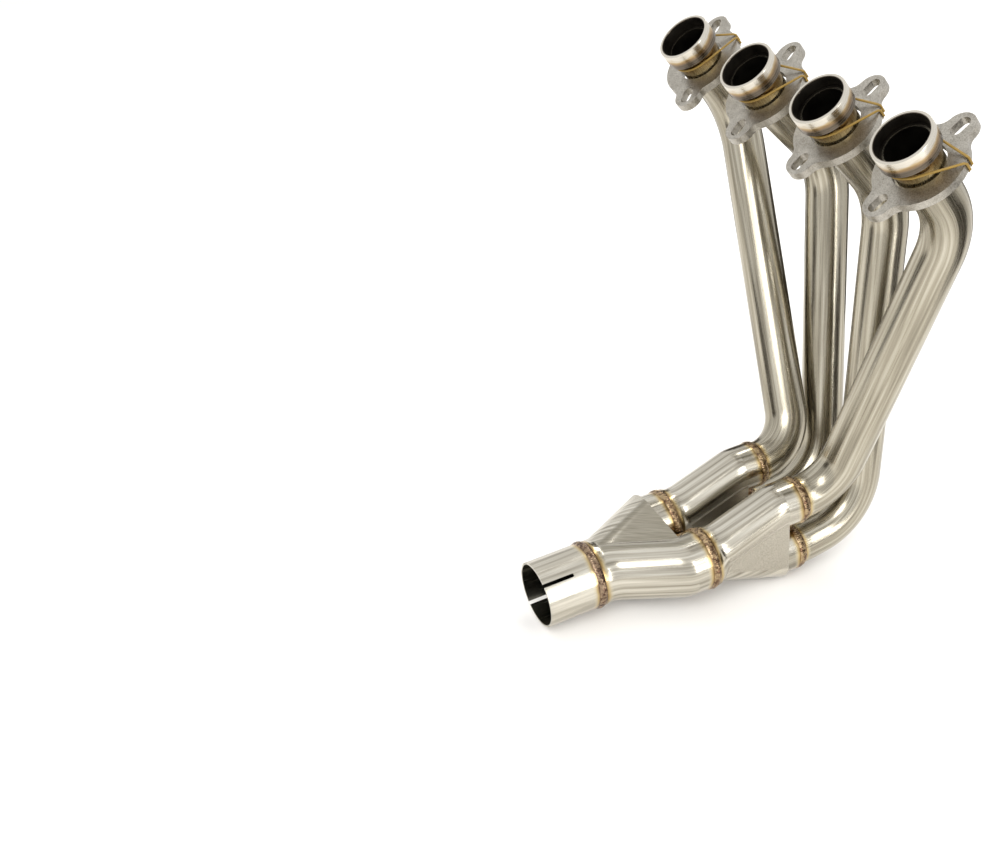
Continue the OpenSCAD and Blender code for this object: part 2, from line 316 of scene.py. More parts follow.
def merge_section(x, out_r, branch_r, socket_r, shift, fork, inset, count=192):
    """A ring round a merge collector at x, over its branches and web, and its lengths around."""
    start = out_r - branch_r
    lean = math.atan2(shift - start, fork - FORK_AT)
    up = start + (shift - start) * min(1.0, max(0.0, (x - FORK_AT) / (KNEE_AT - FORK_AT)))
    # The running branch bends gently at its two corners
    for corner, turn in ((FORK_AT, 1), (KNEE_AT, -1)):
        near = max(0.0, 1 - abs(x - corner) / KNEE_EASE)
        up += turn * near * near * KNEE_EASE * (shift - start) / (KNEE_AT - FORK_AT) / 4
    down = max(start, start + (shift - start) * (x - FORK_AT) / (fork - FORK_AT))
    share = min(1.0, max(0.0, (x - FORK_AT) / (fork - FORK_AT)))
    low_r = branch_r - SOCKET_DIP + (socket_r - branch_r + SOCKET_DIP) * share
    rounds = [(up, branch_r - inset, branch_r - inset),
              (-down, (low_r - inset) / math.cos(lean), low_r - inset)]
    if x < CONE_LEN:
        along = max(0.0, x - ROOT_LEN) / (CONE_LEN - ROOT_LEN)
        cone = out_r - along * (out_r - CONE_SHARE * branch_r)
        rounds.append((0, cone - inset, cone - inset))
    middle = (up - down) / 2 if x > FORK_AT else 0
    # The web runs straight from the running branch's shoulder to the socket branch's top
    corners = [(up, WEB_SHARE * branch_r - inset), (-down, low_r - inset)]
    ring = []
    for k in range(count):
        a = 2 * math.pi * k / count
        dz, dy = math.cos(a), math.sin(a)
        far = 0.0
        for z, half_z, half_y in rounds:
            # Where this ray from the middle leaves the ellipse
            p = (dz / half_z) ** 2 + (dy / half_y) ** 2
            q = (middle - z) * dz / half_z ** 2
            left = q * q - p * (((middle - z) / half_z) ** 2 - 1)
            if left >= 0:
                far = max(far, (-q + math.sqrt(left)) / p)
        if x > ROOT_LEN and abs(dy) > 1e-6:
            (z1, y1), (z2, y2) = corners
            slope = (y1 - y2) / (z1 - z2)
            way = abs(dy) - slope * dz
            if way > 1e-6:
                t = (y2 + slope * (middle - z2)) / way
                if z2 <= middle + dz * t <= z1:
                    far = max(far, t)
        ring.append(Vector((x, dy * far, middle + dz * far)))
    lengths = []
    for p in ring + ring[:1]:
        # Counted from the running branch's outer side, so brush lines follow the branch
        if p.z >= up:
            about = branch_r * math.atan2(abs(p.y), p.z - up)
        elif p.z >= -down:
            about = branch_r * math.pi / 2 + up - p.z
        else:
            about = branch_r * math.pi / 2 + up + down + low_r * math.atan2(-down - p.z, abs(p.y))
        lengths.append(math.copysign(about, p.y))
    return ring, lengths


def merge_sheet(name, place, node, measures, material, dark):
    """A two-into-one collector as one sheet, with its end wall, and its running branch's end."""
    out_r, branch_r, shift = measures
    socket_r, length = branch_r + SLIP + COLLECTOR_WALL, STAGE_LEN
    fork = length - STUB_SHOW
    wall = COLLECTOR_WALL
    steps = 36
    stations = [ROOT_LEN * k / 2 for k in range(3)]
    stations += [ROOT_LEN + (fork - ROOT_LEN) * k / steps for k in range(1, steps + 1)]
    made = [merge_section(x, out_r, branch_r, socket_r, shift, fork, 0) for x in stations]
    middle = Vector((fork, 0, 0))
    made.append(([middle + (p - middle) * 0.01 for p in made[-1][0]], made[-1][1]))
    outside = len(made)
    made.append(([p - Vector((wall, 0, 0)) for p in made[-1][0]], made[-1][1]))
    made += [merge_section(x, out_r, branch_r, socket_r, shift, fork, wall)
             for x in reversed(stations) if x < fork - wall - 1]
    rings, arounds = [m[0] for m in made], [m[1] for m in made]
    lengths = [0.0]
    for a, b in zip(rings, rings[1:] + rings[:1]):
        lengths.append(lengths[-1] + max(0.5, abs(b[0].x - a[0].x)))
    body = (rings, lengths, arounds, True)
    end = []
    for x, r in ((fork - 0.5, branch_r), (fork + STUB_SHOW / 2, branch_r), (length, branch_r),
                 (length, branch_r - wall), (fork - 0.5, branch_r - wall)):
        end.append([Vector((x, r * math.sin(a), shift + r * math.cos(a)))
                    for a in angles_round(END_POINTS)])
    end_lengths = [fork, fork + 8, length, length + 2, length + 18, length + 20]
    piece = (end, end_lengths, around(branch_r, END_POINTS), True)
    return add_piece(name, [body, piece], place, material, (node,), "header", 32,
                     inner=(dark, outside, len(rings) - 2))


def dress(name, material):
    """Gives one of the CAD's own pieces a material."""
    piece = NODES[name]
    piece.data.materials.clear()
    piece.data.materials.append(material)
    return piece


# Materials --------------------------------------------------------------------------------------

def add_node(tree, kind, settings=None, **sockets):
    """Adds a node, sets its properties, and sets or links its input sockets by name."""
    node = tree.nodes.new(kind)
    for key, value in (settings or {}).items():
        setattr(node, key, value)
    for key, value in sockets.items():
        name = key.replace("_", " ")
        numbered = name[0] == "i" and name[1:].isdigit()
        socket = node.inputs[int(name[1:]) if numbered else name]
        if isinstance(value, bpy.types.NodeSocket):
            tree.links.new(value, socket)
        else:
            socket.default_value = value
    return node


def ramp(tree, factor, stops):
    """A colour ramp of (place, hex colour) stops."""
    node = add_node(tree, "ShaderNodeValToRGB", Fac=factor)
    elements = node.color_ramp.elements
    elements[0].position, elements[1].position = stops[0][0], stops[-1][0]
    elements[0].color, elements[1].color = hex_colour(stops[0][1]), hex_colour(stops[-1][1])
    for place, code in stops[1:-1]:
        elements.new(place).color = hex_colour(code)
    return node.outputs["Color"]


def mix(tree, factor, a, b):
    """A colour mix."""
    return add_node(tree, "ShaderNodeMix", {"data_type": "RGBA"}, i0=factor, i6=a, i7=b).outputs[2]


def maths(tree, operation, a, b):
    """One sum on two values."""
    return add_node(tree, "ShaderNodeMath", {"operation": operation}, i0=a, i1=b).outputs[0]


def between(tree, value, low, high, to_low, to_high):
    """Maps a value from one range to another, held at both ends."""
    node = add_node(tree, "ShaderNodeMapRange", Value=value, i1=low, i2=high, i3=to_low, i4=to_high)
    return node.outputs[0]


def noise(tree, place, stretch, detail=3.0):
    """Noise over a place that is first stretched along each axis."""
    moved = add_node(tree, "ShaderNodeMapping", Vector=place, Scale=stretch).outputs["Vector"]
    return add_node(tree, "ShaderNodeTexNoise", Vector=moved, Scale=1.0, Detail=detail).outputs[0]


def wandered(tree, value, wander, amount):
    """A length in metres that a noise moves by up to this amount."""
    node = add_node(tree, "ShaderNodeMath", {"operation": "MULTIPLY_ADD"}, i0=wander, i1=amount,
                    i2=value)
    return node.outputs[0]


def bump_of(tree, height, strength, distance):
    """A normal that is tilted by the slopes of a height, in metres."""
    node = add_node(tree, "ShaderNodeBump", Height=height, Strength=strength, Distance=distance)
    return node.outputs["Normal"]


def object_place(tree):
    """Object coordinates, in metres."""
    return add_node(tree, "ShaderNodeTexCoord").outputs["Object"]


def along_and_around(tree):
    """The piece's own lengths along and around it, in metres, and the direction along it."""
    uv = add_node(tree, "ShaderNodeUVMap", {"uv_map": "UVMap"}).outputs["UV"]
    settings = {"direction_type": "UV_MAP", "uv_map": "UVMap"}
    return uv, add_node(tree, "ShaderNodeTangent", settings).outputs[0]


def separate(tree, vector, axis):
    """One part of a vector."""
    return add_node(tree, "ShaderNodeSeparateXYZ", Vector=vector).outputs[axis]


def new_material(name):
    """A new material and its emptied tree."""
    material = bpy.data.materials.new(name)
    material.use_nodes = True
    tree = material.node_tree
    tree.nodes.clear()
    return material, tree


def finish_metal(tree, colour, roughness, normal, anisotropic=0.0, tangent=None):
    """A metal surface; metals keep the default IOR."""
    shader = add_node(tree, "ShaderNodeBsdfPrincipled", Metallic=1.0, Base_Color=colour,
                      Roughness=roughness)
    if normal is not None:
        tree.links.new(normal, shader.inputs["Normal"])
    if anisotropic:
        shader.inputs["Anisotropic"].default_value = anisotropic
        tree.links.new(tangent, shader.inputs["Tangent"])
    add_node(tree, "ShaderNodeOutputMaterial", Surface=shader.outputs["BSDF"])


def collector_place(tree):
    """Object coordinates turned to the collector line, in metres, with X along it."""
    turned_back = add_node(tree, "ShaderNodeMapping", Vector=object_place(tree),
                           Rotation=(0, math.radians(LEAN), 0))
    return turned_back.outputs["Vector"]


def near_welds(tree, place, stations):
    """1 at the welds at these stations along the collector line, 0 beyond the tint's reach."""
    wander = add_node(tree, "ShaderNodeTexNoise", Vector=place, Scale=60.0, Detail=2.0).outputs[0]
    x = wandered(tree, separate(tree, place, "X"), wander, TINT_WANDER * MM)
    nearest = None
    for station in stations:
        # The noise is a half on average, and that half is taken off again
        off = maths(tree, "SUBTRACT", x, (station + TINT_WANDER / 2) * MM)
        off = maths(tree, "ABSOLUTE", off, 0.0)
        nearest = off if nearest is None else maths(tree, "MINIMUM", nearest, off)
    return between(tree, nearest, 0.0, TINT_REACH * MM, 1.0, 0.0)


def weld_tinted(tree, shade, heat, tint):
    """A shade with the heat tint over it where heat is above 0."""
    return mix(tree, between(tree, heat, 0.0, 0.4, 0.0, 1.0), shade, ramp(tree, heat, tint))


def tube_steel(colour, dark, light):
    """304 stainless tube, belt-brushed lengthwise: grey-beige, streaked along its bends."""
    # Lengthwise scratches stretch each reflection round the tube: highlights stay narrow stripes
    material, tree = new_material("stainless_tube_brushed")
    uv, tangent = along_and_around(tree)
    # Belt scratches are 0.1 mm wide; drawn 0.5 mm wide and 40 mm long to show in the render
    streak = noise(tree, uv, (25, 2000, 1))
    band = noise(tree, uv, (9, 330, 1), 2.0)
    shade = ramp(tree, band, ((0.32, dark), (0.5, colour), (0.68, light)))
    shade = mix(tree, 0.25, shade, ramp(tree, streak, ((0.3, dark), (0.7, light))))
    rough = between(tree, streak, 0.3, 0.7, 0.17, 0.32)
    # Straw tint where the tube was welded into its inlet, near the floor
    place = collector_place(tree)
    near_floor = maths(tree, "LESS_THAN", separate(tree, place, "Z"), 0.06)
    heat = maths(tree, "MULTIPLY", near_welds(tree, place, (INLET_WELD_AT,)), near_floor)
    shade = weld_tinted(tree, shade, heat, WELD_TINT)
    # Brown oxide on the neck, from the collar's weld down to the flange
    along = wandered(tree, separate(tree, uv, "X"), noise(tree, uv, (60, 60, 1)), 0.012)
    neck = between(tree, along, 0.017, 0.034, 0.95, 0.0)
    oxide = ramp(tree, neck, ((0.0, "#B7AB88"), (0.6, "#A08A52"), (1.0, "#7A5F36")))
    shade = mix(tree, neck, shade, oxide)
    finish_metal(tree, shade, rough, bump_of(tree, streak, 0.1, 0.0001), 0.2, tangent)
    return material


def bore_painted_shade():
    """The unpolished inside of a tube, painted near black as shade: next to no light comes back."""
    material, tree = new_material("stainless_bore_painted_shade")
    cloud = noise(tree, object_place(tree), (90, 90, 90))
    # Painted shade: near-black tones stand in for the dark inside of the bore
    shade = ramp(tree, cloud, ((0.3, "#1A1714"), (0.7, "#34302A")))
    finish_metal(tree, shade, 0.6, None)
    return material


def collar_steel(colour):
    """304 stainless collar, lathe-turned: fine rings, with brown oxide from the weld below."""
    material, tree = new_material("stainless_collar_turned")
    uv, tangent = along_and_around(tree)
    # Turning marks 0.15 mm apart, drawn 0.4 mm apart to show in the render
    lines = noise(tree, uv, (2500, 6, 1), 2.0)
    along = wandered(tree, separate(tree, uv, "X"), noise(tree, uv, (110, 45, 1)), 0.012)
    heat = between(tree, along, 0.0108, 0.0182, 0.0, 1.0)
    shade = ramp(tree, heat, ((0.0, colour), (0.25, "#B59C70"), (0.6, "#86673C"), (1.0, "#40301F")))
    shade = mix(tree, 0.18, shade, ramp(tree, lines, ((0.3, "#8C8576"), (0.7, "#E0DBCF"))))
    rough = between(tree, lines, 0.3, 0.7, 0.17, 0.3)
    finish_metal(tree, shade, rough, bump_of(tree, lines, 0.15, 0.0001), 0.3, tangent)
    return material


def flange_steel(colour):
    """304 stainless plate, tumbled: an even satin with a pitted grain, duller than the tubes."""
    material, tree = new_material("stainless_plate_tumbled")
    place = object_place(tree)
    # Tumbling leaves 0.5 mm dimples, drawn 0.8 mm wide; they break up each reflection
    grain = noise(tree, place, (1300, 1300, 1300))
    cloud = noise(tree, place, (150, 150, 150))
    stains = ramp(tree, cloud, ((0.3, "#8F897E"), (0.7, "#C4BFB5")))
    shade = mix(tree, 0.4, stains, hex_colour(colour))
    shade = mix(tree, 0.3, shade, ramp(tree, grain, ((0.38, "#575147"), (0.58, "#D4D0C7"))))
    rough = between(tree, grain, 0.3, 0.7, 0.28, 0.46)
    finish_metal(tree, shade, rough, bump_of(tree, grain, 0.3, 0.00015))
    return material


def in_bore(tree, place, radius, from_x, to_x):
    """1 inside the round bore along the collector line from from_x to to_x, in mm."""
    x, y, z = (separate(tree, place, axis) for axis in "XYZ")
    off = maths(tree, "ADD", maths(tree, "MULTIPLY", y, y), maths(tree, "MULTIPLY", z, z))
    inside = maths(tree, "LESS_THAN", off, (radius * MM) ** 2)
    inside = maths(tree, "MULTIPLY", inside, maths(tree, "GREATER_THAN", x, from_x * MM))
    return maths(tree, "MULTIPLY", inside, maths(tree, "LESS_THAN", x, to_x * MM))


def sheet_shade(tree, streak, band):
    """The brushed sheet's colour from its fine streaks and its wider bands."""
    light, colour, dark = colours().sheet_light, colours().sheet, colours().sheet_dark
    shade = ramp(tree, band, ((0.34, dark), (0.5, colour), (0.64, light)))
    return mix(tree, 0.22, shade, ramp(tree, streak, ((0.3, dark), (0.7, light))))


def sheet_steel(name, facing, dressed_and_lit_tones):
    """304 stainless collector sheet, brushed along its branches; its web faces the given way.

    The brushed branches show bright stripes; the web, gone over with a disc, stays flat and matt
    between them, with its tones painted as light and shade for the way it faces.
    """
    material, tree = new_material(name)
    place = collector_place(tree)
    # Brushing marks 0.2 mm wide, drawn 0.6 mm wide to show in the render
    uv = along_and_around(tree)[0]
    streak, band = noise(tree, uv, (25, 1500, 1)), noise(tree, uv, (8, 260, 1), 2.0)
    shade = sheet_shade(tree, streak, band)
    rough = between(tree, streak, 0.3, 0.7, 0.16, 0.28)
    # The web was gone over with a disc, so it is duller, with slanted scratches; its two tones are
    # painted light and shade: darker on the lying collector's web, which faces up, lighter on the
    # upright collectors' webs
    slanted = add_node(tree, "ShaderNodeMapping", Vector=place,
                       Rotation=(0, 0, math.radians(35))).outputs[0]
    scratch = noise(tree, slanted, (40, 1700, 1700))
    normal = add_node(tree, "ShaderNodeNewGeometry").outputs["Normal"]
    turned_to = add_node(tree, "ShaderNodeVectorMath", {"operation": "DOT_PRODUCT"}, i0=normal,
                         i1=facing)
    flat = maths(tree, "ABSOLUTE", turned_to.outputs["Value"], 0.0)
    flat = between(tree, flat, 0.985, 0.9985, 0.0, 1.0)
    # Painted light and shade: the web's tones are set by the way it faces
    web_finish_and_light = ramp(tree, scratch, ((0.3, dressed_and_lit_tones[0]), (0.7, dressed_and_lit_tones[1])))
    shade = mix(tree, flat, shade, web_finish_and_light)
    rough = add_node(tree, "ShaderNodeMix", i0=flat, i2=rough, i3=0.4).outputs[0]
    heat = near_welds(tree, place, (OUTLET_WELD_AT, MIDDLE_WELD_AT, INLET_WELD_AT))
    shade = weld_tinted(tree, shade, heat, WELD_TINT)
    finish_metal(tree, shade, rough, bump_of(tree, streak, 0.06, 0.0001))
    return material


def pipe_steel(name, stations, tint, bore=None):
    """304 stainless pipe along the collector line, brushed lengthwise: narrow bright stripes.

    bore is the radius, start and end of a round bore that is painted darker as shade.
    """
    material, tree = new_material(name)
    place = collector_place(tree)
    # Brushing marks 0.2 mm wide, drawn 0.6 mm wide to show in the render
    streak, band = noise(tree, place, (40, 1500, 1500)), noise(tree, place, (7, 160, 160), 2.0)
    shade = sheet_shade(tree, streak, band)
    rough = between(tree, streak, 0.3, 0.7, 0.16, 0.28)
    shade = weld_tinted(tree, shade, near_welds(tree, place, stations), tint)
    if bore:
        # Painted shade: the bore is darkened towards #8F8C80
        shade = mix(tree, in_bore(tree, place, *bore), shade, hex_colour("#8F8C80"))
    finish_metal(tree, shade, rough, bump_of(tree, streak, 0.06, 0.0001))
    return material


def weld_steel(name, light, dark):
    """Stainless weld bead, as welded: oxidised straw to brown, with painted shade in the hollows
    between ripples, so each ripple is outlined dark.
    """
    material, tree = new_material(name)
    hollow = add_node(tree, "ShaderNodeNewGeometry").outputs["Pointiness"]
    cloud = noise(tree, object_place(tree), (320, 320, 320))
    shade = ramp(tree, cloud, ((0.36, dark), (0.6, light)))
    # Painted shade: the hollows between ripples are darkened towards #3E2C1A
    shade = mix(tree, between(tree, hollow, 0.42, 0.56, 0.8, 0.0), shade, hex_colour("#3E2C1A"))
    finish_metal(tree, shade, between(tree, cloud, 0.3, 0.7, 0.18, 0.36), None)
    return material


def band_rubber(colour):
    """Natural rubber, cut from a moulded sleeve: matt ochre with a soft sheen."""
    material, tree = new_material("natural_rubber_band")
    cloud = noise(tree, object_place(tree), (400, 400, 400), 2.0)
    shade = mix(tree, cloud, hex_colour(colour), hex_colour("#7A6228"))
    shader = add_node(tree, "ShaderNodeBsdfPrincipled", Base_Color=shade, Roughness=0.55, IOR=1.52)
    add_node(tree, "ShaderNodeOutputMaterial", Surface=shader.outputs["BSDF"])
    return material


# Settings ---------------------------------------------------------------------------------------

class HeaderSizes(bpy.types.PropertyGroup):
    """Sizes of the drawn details, in millimetres."""

    tube_d: FloatProperty(
        name="Tube diameter", description="Outer diameter of the primary tubes",
        default=32.0, min=20, max=60)
    tube_wall: FloatProperty(
        name="Tube wall", description="Wall thickness of the tubes",
        default=1.2, min=0.5, max=3)
    bead_h: FloatProperty(
        name="Bead height", description="Height of the weld beads",
        default=1.15, min=0.4, max=2)
    bead_w: FloatProperty(
        name="Bead width", description="Width of the weld beads",
        default=5.9, min=2, max=10)
    band_d: FloatProperty(
        name="Band thickness", description="Thickness of the elastic bands",
        default=1.6, min=0.5, max=3)


class HeaderColours(bpy.types.PropertyGroup):
    """Colours of the finishes, as sRGB hex codes."""

    tube: StringProperty(
        name="Tube", description="Brushed tube", default="#A69F8E")
    tube_dark: StringProperty(
        name="Tube streaks", description="Darker streaks of the tube", default="#7D7667")
    tube_light: StringProperty(
        name="Tube shine", description="Lighter streaks of the tube", default="#C9C3B3")
    collar: StringProperty(
        name="Collar", description="Turned collar", default="#D8D2C6")
    flange: StringProperty(
        name="Flange", description="Tumbled plate", default="#A9A499")
    sheet: StringProperty(
        name="Sheet", description="Brushed sheet of the collectors", default="#BCB6A8")
    sheet_dark: StringProperty(
        name="Sheet streaks", description="Darker streaks of the sheet", default="#868071")
    sheet_light: StringProperty(
        name="Sheet shine", description="Lighter streaks of the sheet", default="#DBD6C9")
    weld: StringProperty(
        name="Weld", description="Lighter part of the weld beads", default="#C4AB86")
    weld_dark: StringProperty(
        name="Weld shade", description="Darker part of the weld beads", default="#6C5241")
    band: StringProperty(
        name="Band", description="Elastic band", default="#A07F30")


def sizes():
    """The scene's own settings of sizes."""
    return bpy.context.scene.header_sizes


def colours():
    """The scene's own settings of colours."""
    return bpy.context.scene.header_colours


# Operators --------------------------------------------------------------------------------------

def tube_inlet(i):
    """Middle of tube i's inlet, in the collector line's own frame."""
    return Vector((INLET_WELD_AT, SIDE[i] * MIDDLE_SHIFT, LEVEL[i] * INLET_SHIFT))


def tube_route(i):
    """Corners and bend radii of primary tube i, from its collar to its inlet."""
    at, out = port(i)
    corners, radii = [at - out * BORE_DEPTH, at - out * LEG[i]], [0, BEND_R]
    if REACH[i]:
        b = math.radians(PORT_ANGLE - KICK[i])
        corners.append(corners[-1] + Vector((math.cos(b), 0, -math.sin(b))) * REACH[i])
        radii.append(BEND_R)
    inlet = tube_inlet(i)
    rise = (KNEE_AHEAD[i] - RISE_FROM) * math.tan(math.radians(INLET_RISE[i]))
    corners.append(inlet + Vector((KNEE_AHEAD[i], 0, rise)))
    radii.append(KNEE_BEND_R[i])
    if INLET_RISE[i]:
        corners.append(inlet + Vector((RISE_FROM, 0, 0)))
        radii.append(BEND_R)
    corners.append(inlet - Vector((GRIP, 0, 0)))
    radii.append(0)
    return corners, radii


class HEADER_OT_tubes(bpy.types.Operator):
    """Bends the four primary tubes from brushed steel tube"""

    bl_idname = "header.tubes"
    bl_label = "Primary tubes"

    def execute(self, context):
        material = tube_steel(colours().tube, colours().tube_dark, colours().tube_light)
        dark = bore_painted_shade()
        for i in range(PORTS):
            corners, radii = tube_route(i)
            swept("tube_%d_brushed" % (i + 1), corners, radii, sizes().tube_d, sizes().tube_wall,
                  material, dark, "primary_tube_%d" % (i + 1), "header")
        return {"FINISHED"}


class HEADER_OT_collars(bpy.types.Operator):
    """Turns the four head collars, with bevelled rims and a step down to the tube's end"""

    bl_idname = "header.collars"
    bl_label = "Collars"

    def execute(self, context):
        material = collar_steel(colours().collar)
        dark = bore_painted_shade()
        r, rb, rs = COLLAR_D / 2, COLLAR_BORE_D / 2, sizes().tube_d / 2 + SLIP
        profile = [
            (rb + RIM, 0), (r - RIM, 0), (r - RIM_MID, -RIM_MID), (r, -RIM),
            (r, -COLLAR_LEN + HEEL), (r - HEEL, -COLLAR_LEN), (rs, -COLLAR_LEN),
            (rs, -BORE_DEPTH), (rb, -BORE_DEPTH), (rb, -RIM), (rb + RIM_MID, -RIM_MID),
        ]
        for i in range(PORTS):
            turned("collar_%d_turned" % (i + 1), profile, port_frame(i), material,
                   "collar_%d" % (i + 1), "header", inner=(dark, 6, 8))
        return {"FINISHED"}


class HEADER_OT_flanges(bpy.types.Operator):
    """Finishes the four loose flanges as tumbled plate with softened edges"""

    bl_idname = "header.flanges"
    bl_label = "Flanges"

    def execute(self, context):
        material = flange_steel(colours().flange)
        for i in range(PORTS):
            piece = dress("flange_%d" % (i + 1), material)
            bevel = piece.modifiers.new("soft_edge", "BEVEL")
            bevel.width, bevel.segments, bevel.limit_method = FLANGE_EDGE * MM, 2, "ANGLE"
            bevel.angle_limit = math.radians(50)
        return {"FINISHED"}


class HEADER_OT_bands(bpy.types.Operator):
    """Stretches an elastic band from behind each tube to its flange's rim"""

    bl_idname = "header.bands"
    bl_label = "Elastic bands"

    def execute(self, context):
        material = band_rubber(colours().band)
        d = sizes().band_d
        loop_r, rim = sizes().tube_d / 2 + BAND_OFF + d / 2, FLANGE_RIM_R + d / 2
        top, under = -FLANGE_DROP + d, -FLANGE_DROP - FLANGE_T - d / 2
        # Half of the band: a quarter turn round the neck, out to the rim, over it and under
        half, steps = [], 12
        for k in range(steps + 1):
            a = math.radians(180 - 90 * k / steps)
            half.append(Vector((loop_r * math.cos(a), loop_r * math.sin(a), BAND_HEIGHT)))
        half += [Vector((5, loop_r, BAND_HEIGHT)), Vector((rim - 1.2, 2.7, top - 0.35)),
                 Vector((rim, 2.2, top - 1.6)), Vector((rim, 2, under + 1.2)),
                 Vector((rim - 1, 2, under)), Vector((rim - 4.4, 2, under)),
                 Vector((rim - 5, 1.4, under)), Vector((rim - 5, 0, under))]
        loop = half + [Vector((p.x, -p.y, p.z)) for p in reversed(half[1:-1])]
        for i in range(PORTS):
            turn = math.radians(FLANGE_TURN[i] + BAND_TURN[i])
            place = port_frame(i) @ Matrix.Rotation(turn, 4, "Z")
            rings, lengths = [], [0.0]
            for k, p in enumerate(loop):
                onward = loop[(k + 1) % len(loop)]
                way = (onward - loop[k - 1]).normalized()
                u = (Vector((0, 0, 1)) - way * way.z)
                u = (u if u.length > 0.2 else Vector((1, 0, 0)) - way * way.x).normalized()
                v = way.cross(u)
                rings.append([p + (u * math.cos(a) + v * math.sin(a)) * d / 2
                              for a in angles_round(BAND_POINTS)])
                lengths.append(lengths[-1] + (onward - p).length)
            shell = (rings, lengths, around(d / 2, BAND_POINTS), True)
            add_piece("band_%d_rubber" % (i + 1), [shell], place, material,
                      ("flange_band_%d" % (i + 1),), "flange_%d_swivel" % (i + 1))
        return {"FINISHED"}


class HEADER_OT_welds(bpy.types.Operator):
    """Lays the rippled weld beads under the collars, at the inlets and along the collector line"""

    bl_idname = "header.welds"
    bl_label = "Weld beads"

    def execute(self, context):
        straw = weld_steel("stainless_weld_straw", colours().weld, colours().weld_dark)
        purple = weld_steel("stainless_weld_brown", "#B19A80", "#59443B")
        h, w = sizes().bead_h, sizes().bead_w / 2
        # Each bead runs from one radius and height to another; the fillets end on the tube
        under_collar = (18.3, -13.55), (16.05, -15.8)
        at_inlet = (17.6, -w), (16.05, w + 0.9)
        at_middle = (MIDDLE_R + BEAD_LIFT, -w), (MIDDLE_R + BEAD_LIFT, w)
        at_outlet = (OUTLET_R + BEAD_LIFT, -w), (OUTLET_R + BEAD_LIFT, w)
        for i in range(PORTS):
            weld_ring("collar_weld_%d_bead" % (i + 1), *under_collar, COLLAR_BEAD_H, port_frame(i),
                      straw, "collar_weld_%d" % (i + 1))
            weld_ring("primary_weld_%d_bead" % (i + 1), *at_inlet, h, along_frame(*tube_inlet(i)),
                      straw, "primary_weld_%d" % (i + 1))
        for side, y in (("left", MIDDLE_SHIFT), ("right", -MIDDLE_SHIFT)):
            weld_ring("middle_weld_%s_bead" % side, *at_middle, h,
                      along_frame(MIDDLE_WELD_AT, y, 0), straw, "middle_weld_" + side)
        weld_ring("outlet_weld_bead", *at_outlet, h, along_frame(OUTLET_WELD_AT, 0, 0), purple,
                  "outlet_weld")
        return {"FINISHED"}


class HEADER_OT_collectors(bpy.types.Operator):
    """Finishes the merge collectors and their stubs as brushed sheet"""

    bl_idname = "header.collectors"
    bl_label = "Collectors"

    def execute(self, context):
        dark = bore_painted_shade()
        lean = math.radians(LEAN)
        # The webs' tones are painted: shade on the lying collector's upward web, light on the
        # upright collectors' webs
        tall = sheet_steel("stainless_sheet_upright_lit_web", (0, 1, 0), ("#9E988A", "#C2BCAF"))
        wide = sheet_steel("stainless_sheet_lying_shaded_web", (-math.sin(lean), 0, math.cos(lean)),
                           ("#7C7669", "#A09B8D"))
        plain = pipe_steel("stainless_stub", (OUTLET_WELD_AT, MIDDLE_WELD_AT, INLET_WELD_AT),
                           WELD_TINT)
        turn = Matrix.Rotation(math.radians(90), 4, "X")
        merge_sheet("second_stage_sheet",
                    lie() @ Matrix.Translation((OUTLET_WELD_AT, 0, 0)) @ turn,
                    "second_stage", (OUTLET_R, MIDDLE_R, MIDDLE_SHIFT), wide, dark)
        for side, y in (("left", MIDDLE_SHIFT), ("right", -MIDDLE_SHIFT)):
            merge_sheet("first_stage_%s_sheet" % side,
                        lie() @ Matrix.Translation((MIDDLE_WELD_AT, y, 0)),
                        "first_stage_" + side, (MIDDLE_R, INLET_R, INLET_SHIFT), tall, dark)
        for name in ("lower_stub_left", "lower_stub_right", "rear_stub"):
            dress(name, plain)
        return {"FINISHED"}


class HEADER_OT_sleeve(bpy.types.Operator):
    """Finishes the slotted outlet sleeve, with a purple heat tint towards its weld"""

    bl_idname = "header.sleeve"
    bl_label = "Outlet sleeve"

    def execute(self, context):
        dress("outlet_sleeve", pipe_steel("stainless_sleeve_brushed", (OUTLET_WELD_AT,),
                                          SLEEVE_TINT, SLEEVE_SHADED_BORE))
        return {"FINISHED"}


# Lamps: where each stands and its two sides in metres, and its power in watts
SOFTBOXES = {
    "key_softbox": ((-0.9, -0.9, 1.5), (1.2, 0.8), 16.0),
    "rim_softbox": ((1.1, 0.9, 1.2), (0.25, 1.4), 9.0),
    "side_strip": ((0.6, -1.4, 0.7), (0.18, 1.2), 6.0),
}
# Flags: the way each stands from the tubes in degrees, how far off, its width and its height
FLAGS = {
    "flag_far": (40, 0.42, 0.62, 0.26),
    "flag_right": (310, 0.45, 0.26, 0.24),
    "flag_left": (165, 0.5, 0.2, 0.22),
}
FLAGS_ROUND = (0.22, 0.05)
# The camera, solved from the photograph's perspective: its place, and its right and look ways
CAMERA_AT = (-0.3032, -0.5948, 0.5793)
CAMERA_RIGHT, CAMERA_LOOK = (0.9053, -0.4247, -0.0072), (0.3529, 0.7615, -0.5436)


def seen_rays(tree):
    """1 for the rays that see a surface or its mirror image, 0 for those that light others."""
    rays = add_node(tree, "ShaderNodeLightPath").outputs
    seen = maths(tree, "MAXIMUM", rays["Is Camera Ray"], rays["Is Glossy Ray"])
    return maths(tree, "MAXIMUM", seen, rays["Is Transmission Ray"])


